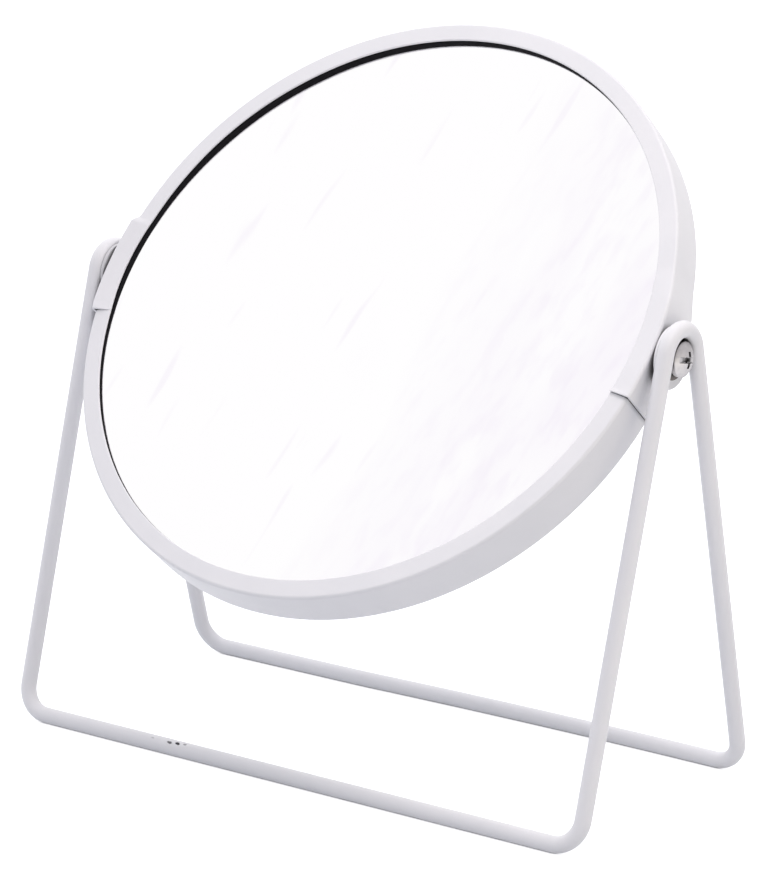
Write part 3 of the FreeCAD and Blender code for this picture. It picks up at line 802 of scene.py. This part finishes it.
def makePlate(name, node, side, material):
    # welded to the eye: a small fillet runs up to the wire
    near, far, radius = spanOnAxis(node)
    near += pivotPart["plateThin"]
    thick = far - near - pivotPart["plateClear"]
    bore, edge, fillet = pivotPart["plateBore"] / 2, pivotPart["plateEdge"], pivotPart["fillet"]
    piece = lathe(name, roundOutline([
        (bore, 0, edge), (radius, 0, edge), (radius, thick + fillet / 3, 0),
        (radius - 2 * fillet, thick, 0), (bore, thick, edge / 2)]), pivotPart["segments"], True)
    # painted shade on the left plate's rim
    shadeMark = piece.data.attributes.new("seam", "FLOAT", "POINT")
    for k, vertex in enumerate(piece.data.vertices):
        if side < 0 and vertex.co.xy.length / mm > radius - edge / 2:
            shadeMark.data[k].value = pivotPart["rimShade"]
    smooth(place(piece, onAxis(side, near)))
    return fit(piece, "stand", "powder_coat", material, node)


def makeSpringWasher(name, node, side, material):
    # a ring cut through and sprung open, one end higher than the other
    near, far, radius = spanOnAxis(node)
    rise, count = pivotPart["springRise"], pivotPart["segments"]
    outline = ringOutline(radius, far + screw["proud"] - near - rise)
    gap = pivotPart["springSlit"] / radius
    turns = [gap / 2 + (2 * math.pi - gap) * k / count for k in range(count + 1)]
    piece = sweep(name, [[(r * math.cos(a), r * math.sin(a), z + rise * k / count) for r, z in outline]
                         for k, a in enumerate(turns)])
    smooth(place(piece, onAxis(side, near)))
    return fit(piece, "mirror_head", "zinc_steel", material, node)


def taperedBar(name, length, width, top, bottom, taper):
    # cutter along X, narrower at its bottom
    points = []
    for z, share in ((bottom, taper), (top, 1)):
        x, y = length / 2 * share, width / 2 * share
        points += [(-x, -y, z), (x, -y, z), (x, y, z), (-x, y, z)]
    faces = [(3, 2, 1, 0), (4, 5, 6, 7)] + [(k, n, 4 + n, 4 + k) for k, n in loopEdges(4)]
    return meshObject(name, points, faces)


def screwHead(name):
    radius, height, crown, rings = (screw[k] for k in ("head", "headHeight", "crown", "crownRings"))
    radius /= 2
    shoulder = height - crown + math.sqrt(crown ** 2 - radius ** 2)
    rise = math.asin(radius / crown)
    outline = roundOutline([(0, 0, 0), (radius, 0, screw["seatEdge"]), (radius, shoulder, 0)], closed=False)
    outline += [(crown * math.sin(rise * k / rings), height - crown + crown * math.cos(rise * k / rings))
                for k in range(rings - 1, -1, -1)]
    head = lathe(name, outline, screw["headSegments"], False)
    top = height + 1
    cut(head, taperedBar("slot", 4 * radius, screw["slotWidth"], top, height - screw["slotDepth"], 1))
    for turn in (0, math.pi / 2):
        arm = taperedBar("arm", screw["recessLength"], screw["recessWidth"], top,
                         height - screw["recessDepth"], screw["recessTaper"])
        cut(head, place(arm, Matrix.Rotation(turn, 4, "Z")))
    addModifier(head, "BEVEL", width=screw["softEdge"] * mm, segments=2, limit_method="ANGLE",
                angle_limit=math.radians(screw["softAbove"]))
    return settle(head)


def threadedShank(name, length):
    radius, pitch, segments = screw["shank"] / 2, screw["pitch"], screw["shankSegments"]
    count = int(length / pitch * screw["ringsPerTurn"])
    rings = []
    for i in range(count + 1):
        z = -length * i / count
        rings.append([])
        for k in range(segments):
            turn = (z / pitch + k / segments) % 1
            r = radius - screw["threadDepth"] * (1 - abs(2 * turn - 1))
            a = 2 * math.pi * k / segments
            rings[-1].append((r * math.cos(a), r * math.sin(a), z))
    return sweep(name, rings)


def joinPieces(name, first, second):
    shape = bmesh.new()
    shape.from_mesh(first.data)
    shape.from_mesh(second.data)
    shape.to_mesh(first.data)
    shape.free()
    bpy.data.objects.remove(second)
    first.name = name
    return first


def makeScrew(name, node, side, turn, material):
    near, far = spanOnAxis(node)[:2]
    station = far + screw["proud"] - screw["headHeight"]
    piece = joinPieces(name, screwHead(name + "_head"), threadedShank(name + "_shank", station - near))
    slotTurn = math.radians(90 - side * turn)
    smooth(place(piece, onAxis(side, station) @ Matrix.Rotation(slotTurn, 4, "Z")), sharpAbove=30)
    return fit(piece, "mirror_head", "zinc_steel", material, node)


def makePivots(coat, zinc, shadedZinc, fibre):
    for word, side in (("right", 1), ("left", -1)):
        makePlate(word + "_plate", word + "_pivot_plate", side, coat)
        makeWasher(word + "_fibre_washer", word + "_friction_washer", side, "vulcanised_fibre", fibre,
                   pivotPart["plateThin"] - pivotPart["plateClear"])
        makeWasher(word + "_flat_washer", word + "_plain_washer", side, "zinc_steel", shadedZinc)
        makeSpringWasher(word + "_lock_washer", word + "_spring_washer", side, shadedZinc)
        makeScrew(word + "_screw", word + "_pivot_screw", side, screw["turn" + word.title()], zinc)


chips = {
    "steel": "#2E2C33", "steelRoughness": 0.75, "slant": 14,
    "rag": grainOf(0.6, 4.0, 0.7), "ragDepth": 1.6, "bareWithin": 1.5, "coatedBeyond": 1.95,
    # place along the front bar, degrees up from its front, length, width, depth of the chip
    "spots": [(-43.0, 57, 1.3, 0.5, 0.3), (-37.3, 53, 1.9, 0.75, 0.85),
              (-34.7, 60, 1.8, 0.85, 1.0), (-32.4, 68, 1.2, 0.8, 0.55)],
}
rimCoat = powderCoat("white_powder_coat")
wireCoat = powderCoat("chipped_powder_coat", chips)
zinc = zincSteel("bright_zinc_steel", "#A3A1A2", "#C4C1C2")
shadedZinc = zincSteel("dulled_zinc_steel", "#5C5654", "#7C7673")  # darker brown-grey zinc for the washers: painted shade under the head
makeWire(wireCoat)
print("wire stand made")
makeRim(rimCoat)
print("rim halves made")
makeGlass(silveredGlass("flat_silvered_glass", silverLook["flat"]),
          silveredGlass("curved_silvered_glass", silverLook["curved"]))
rubber = sheetStock("black_packing_rubber")
makeFrontPacking(rubber)
print("glasses made")
makePivots(rimCoat, zinc, shadedZinc, sheetStock("vulcanised_fibre"))
print("pivots made")

nodeFinish = {
    "rear_packing_ring": rubber,
    "backing_card": sheetStock("grey_millboard"),
    "foam_spacer_ring": sheetStock("white_eva_foam"),
    "right_square_nut": zinc, "left_square_nut": zinc,
}
for node, finish in nodeFinish.items():
    frame["nodes"][node].data.materials.clear()
    frame["nodes"][node].data.materials.append(finish)


shot = {
    "azimuth": 35.345, "elevation": 13.73, "roll": 0.737, "distance": 884.6,
    "target": (1.685, 0, 83.632), "focalPixels": 3405, "framePixels": 880, "sensor": 36.0,
    "clip": (0.01, 50),
}


def makeCamera():
    az, el, roll = (math.radians(shot[k]) for k in ("azimuth", "elevation", "roll"))
    back = Vector((math.sin(az) * math.cos(el), -math.cos(az) * math.cos(el), math.sin(el)))
    right = Vector((math.cos(az), math.sin(az), 0))
    up = back.cross(right)
    across = right * math.cos(roll) + up * math.sin(roll)
    upwards = up * math.cos(roll) - right * math.sin(roll)
    data = bpy.data.cameras.new("camera")
    data.sensor_width = shot["sensor"]
    data.lens = shot["sensor"] * shot["focalPixels"] / shot["framePixels"]
    data.clip_start, data.clip_end = shot["clip"]
    camera = bpy.data.objects.new("camera", data)
    turned = Matrix((across, upwards, back)).transposed().to_4x4()
    camera.matrix_world = Matrix.Translation((Vector(shot["target"]) + back * shot["distance"]) * mm) @ turned
    scene.collection.objects.link(camera)
    scene.camera = camera
    return across, upwards, back


studio = {
    "floorSize": 12000, "floorColour": "#CDCFD3", "floorLift": 0.75,
    "contact": 0.24, "contactFrom": 0.1, "contactTo": 0.6,  # painted contact shadow: a dark line where the wire meets the table
    "cameraSide": 0.4, "cameraSideFrom": 0.45,  # how dark the unlit camera side is, and its reach
    # soft light from each side: direction, colour, strength
    "sides": {
        "above": ((0, 0, 1), "#FFFCFF", 0.75),
        "left": ((-1, 0, 0), "#FFFFFF", 0.72),
        "behind": ((0, 1, 0), "#FFFFFF", 0.5),
        "behind_left": ((-0.7071, 0.7071, 0), "#FFFFFF", 0.5),
        "front": ((0, -1, 0), "#EAF1FF", 0.295),
    },
    # place, size in metres, colour, watts
    "lamps": {
        "overhead": ((0.15, 0.15, 1.0), 0.8, "#F8F6FF", 2.16),
        "top_box": ((0.2, -0.15, 0.5), 0.25, "#FFF6EC", 0.55),
        "right_box": ((0.32, -0.04, 0.05), 0.22, "#FFF6E0", 0.15),
    },
}
# creases of the white cloth overhead, as the mirror shows them at rest, in radians across the view
creases = {
    "slope": 58, "colour": "#EAE0F2",
    # length and width of each kind of fold, its noise's scale and detail
    "folds": {"short": (0.013, 0.0036, 1.0, 2.0), "rare": (0.045, 0.0045, 1.0, 1.0),
              "broad": (0.013, 0.0036, 0.2, 1.0)},
    # the noise that each effect reads, from and to which level, and how strong it is at each
    "effects": {"wobble": ("broad", 0.3, 0.7, -0.014, 0.014), "deep": ("broad", 0.35, 0.65, 0.05, 0.24),
                "faint": ("short", 0.45, 0.70, 0.0, 0.16), "rare": ("rare", 0.71, 0.80, 0.0, 0.25)},
    "edge": 0.010, "fade": 0.028,  # where the haze ends, and over how far
}


def seenDirectly(tree):
    # 1 for rays from the camera, from reflections and through glass
    path = addNode(tree, "LightPath", {}).outputs
    seen = addNode(tree, "Math", {0: path["Is Camera Ray"], 1: path["Is Glossy Ray"]}, operation="MAXIMUM")
    return addNode(tree, "Math", {0: seen, 1: path["Is Transmission Ray"]}, operation="MAXIMUM")


def makeFloor():
    half = studio["floorSize"] / 2
    floor = meshObject("floor", [(-half, -half, 0), (half, -half, 0), (half, half, 0), (-half, half, 0)],
                       [(0, 1, 2, 3)])
    material, tree = newMaterial("white_paper_sweep")
    paper = addNode(tree, "BsdfDiffuse", {"Color": hexColour(studio["floorColour"])})
    # painted contact shadow: the floor's glow falls away where the wire closes it in
    openness = addNode(tree, "AmbientOcclusion", {"Distance": studio["contact"] * mm}, samples=16)
    level = addNode(tree, "MapRange", between(
        openness.outputs["AO"], studio["contactFrom"], studio["contactTo"], 0.0, studio["floorLift"]))
    lift = addNode(tree, "Math", {0: seenDirectly(tree), 1: level}, operation="MULTIPLY")
    glow = addNode(tree, "Emission", {"Strength": lift})
    both = addNode(tree, "AddShader", {0: paper, 1: glow})
    addNode(tree, "OutputMaterial", {"Surface": both})
    floor.data.materials.append(material)


def softLight(tree, direction):
    # each side's light falls off as the direction turns away from it
    light = (0, 0, 0)
    for axis, code, strength in studio["sides"].values():
        facing = addNode(tree, "VectorMath", {0: direction, 1: axis}, operation="DOT_PRODUCT")
        share = addNode(tree, "Math", {0: facing, 1: 0.0}, operation="MAXIMUM")
        full = [channel * strength for channel in hexColour(code)[:3]]
        part = addNode(tree, "VectorMath", {0: full, "Scale": share}, operation="SCALE")
        light = addNode(tree, "VectorMath", {0: light, 1: part}, operation="ADD")
    return light


def creasedCloth(tree, direction, screenRight, screenUp):
    # how creased the white cloth is in each direction: soft short folds, all sloping one way
    slope = math.radians(creases["slope"])
    run, side = (addNode(tree, "VectorMath", {0: direction, 1: axis}, operation="DOT_PRODUCT")
                 for axis in (screenRight * math.cos(slope) + screenUp * math.sin(slope),
                              screenUp * math.cos(slope) - screenRight * math.sin(slope)))
    noise = {}
    for name, (length, width, scale, detail) in creases["folds"].items():
        across, down = (addNode(tree, "Math", {0: value, 1: size}, operation="DIVIDE")
                        for value, size in ((run, length), (side, width)))
        spot = addNode(tree, "CombineXYZ", {"X": across, "Y": down})
        noise[name] = addNode(tree, "TexNoise", {
            "Vector": spot, "Scale": scale, "Detail": detail}, noise_dimensions="2D")
    effect = {name: addNode(tree, "MapRange", between(noise[source], *levels))
              for name, (source, *levels) in creases["effects"].items()}
    edge = addNode(tree, "Math", {0: side, 1: effect["wobble"]}, operation="ADD")
    hazy = addNode(tree, "MapRange", between(
        edge, creases["edge"] - creases["fade"], creases["edge"], 1.0, 0.0))
    full = addNode(tree, "Math", {0: effect["deep"], 1: effect["faint"]}, operation="ADD")
    return addNode(tree, "Mix", {"Factor": hazy, "A": effect["rare"], "B": full})


def makeWorld(screenRight, screenUp, back):
    # a white room, creased overhead and unlit on the camera side as reflections show it, and soft
    # light of its own for each side
    world = bpy.data.worlds.new("studio")
    world.use_nodes = True
    scene.world = world
    tree = world.node_tree
    tree.nodes.clear()
    direction = addNode(tree, "TexCoord", {}).outputs["Generated"]
    soft = addNode(tree, "Background", {"Color": softLight(tree, direction)})
    glassFront = (hang @ askewSeat()).to_3x3() @ Vector((0, 0, 1))
    inGlass = [axis.reflect(glassFront) for axis in (screenRight, screenUp)]
    cameraRay = addNode(tree, "LightPath", {}).outputs["Is Camera Ray"]
    reflected = addNode(tree, "Math", {0: 1.0, 1: cameraRay}, operation="SUBTRACT")
    creased = addNode(tree, "Math", {
        0: creasedCloth(tree, direction, *inGlass), 1: reflected}, operation="MULTIPLY")
    cloth = addNode(tree, "Mix", {
        "Factor": creased, "A": (1, 1, 1, 1), "B": hexColour(creases["colour"])}, data_type="RGBA")
    facing = addNode(tree, "VectorMath", {0: direction, 1: back}, operation="DOT_PRODUCT")
    level = addNode(tree, "MapRange", between(
        facing, studio["cameraSideFrom"], 1.0, 1.0, studio["cameraSide"]), interpolation_type="SMOOTHSTEP")
    level = addNode(tree, "Math", {0: level, 1: cameraRay}, operation="MAXIMUM")
    seen = addNode(tree, "Background", {"Color": cloth, "Strength": level})
    both = addNode(tree, "MixShader", {0: seenDirectly(tree), 1: soft, 2: seen})
    addNode(tree, "OutputWorld", {"Surface": both})


def makeLamps():
    for name, (spot, size, colour, watts) in studio["lamps"].items():
        data = bpy.data.lights.new(name, "AREA")
        data.shape = "SQUARE"
        data.size = size
        data.energy = watts
        data.color = hexColour(colour)[:3]
        lamp = bpy.data.objects.new(name, data)
        lamp.location = spot
        lamp.rotation_mode = "QUATERNION"
        lamp.rotation_quaternion = (pivot - lamp.location).to_track_quat("-Z", "Y")
        scene.collection.objects.link(lamp)


scene.view_settings.view_transform = "Standard"
makeFloor()
makeWorld(*makeCamera())
makeLamps()
print("studio made")
